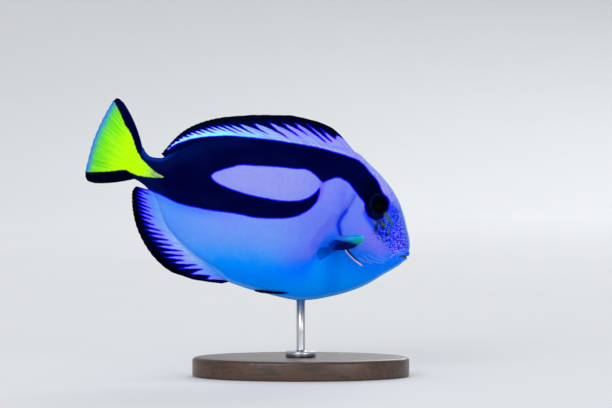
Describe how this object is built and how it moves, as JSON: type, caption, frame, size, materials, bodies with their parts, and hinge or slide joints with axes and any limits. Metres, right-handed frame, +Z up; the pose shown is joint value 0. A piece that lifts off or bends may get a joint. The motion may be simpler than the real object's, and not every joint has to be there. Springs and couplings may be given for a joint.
{
  "type": "fish model",
  "caption": "Still life-size model of a blue tang swimming with its nose a little down, held by one rod on a flat oval base.",
  "frame": {"origin": "centre of the underside of the stand's base", "axes": "+Z up, +X towards the fish's head, so its right flank faces -Y"},
  "size_m": [0.1503, 0.072, 0.1281],
  "materials": {
    "skin": "satin, finely scaled, blue to lilac with a black palette mark",
    "fin_dark": "satin, ribbed, black margin with pale lilac streaks",
    "fin_yellow": "satin, ribbed, yellow with black edges",
    "fin_clear": "thin and ribbed, blue to yellow-green",
    "eye": "wet gloss, near black",
    "spine": "smooth, pale bone",
    "stand_base": "dark stained wood, satin varnished",
    "stand_metal": "brushed"
  },
  "bodies": {
    "root": {"head": "skin", "torso": "skin", "tail_stem": "skin", "dorsal_fin": "fin_dark", "anal_fin": "fin_dark", "caudal_fin": "fin_yellow", "pectoral_fin_left": "fin_clear", "pectoral_fin_right": "fin_clear", "pelvic_fin_left": "fin_dark", "pelvic_fin_right": "fin_dark", "eye_left": "eye", "eye_right": "eye", "tail_spine_left": "spine", "tail_spine_right": "spine", "stand_base": "stand_base", "stand_rod": "stand_metal"}
  },
  "joints": []
}
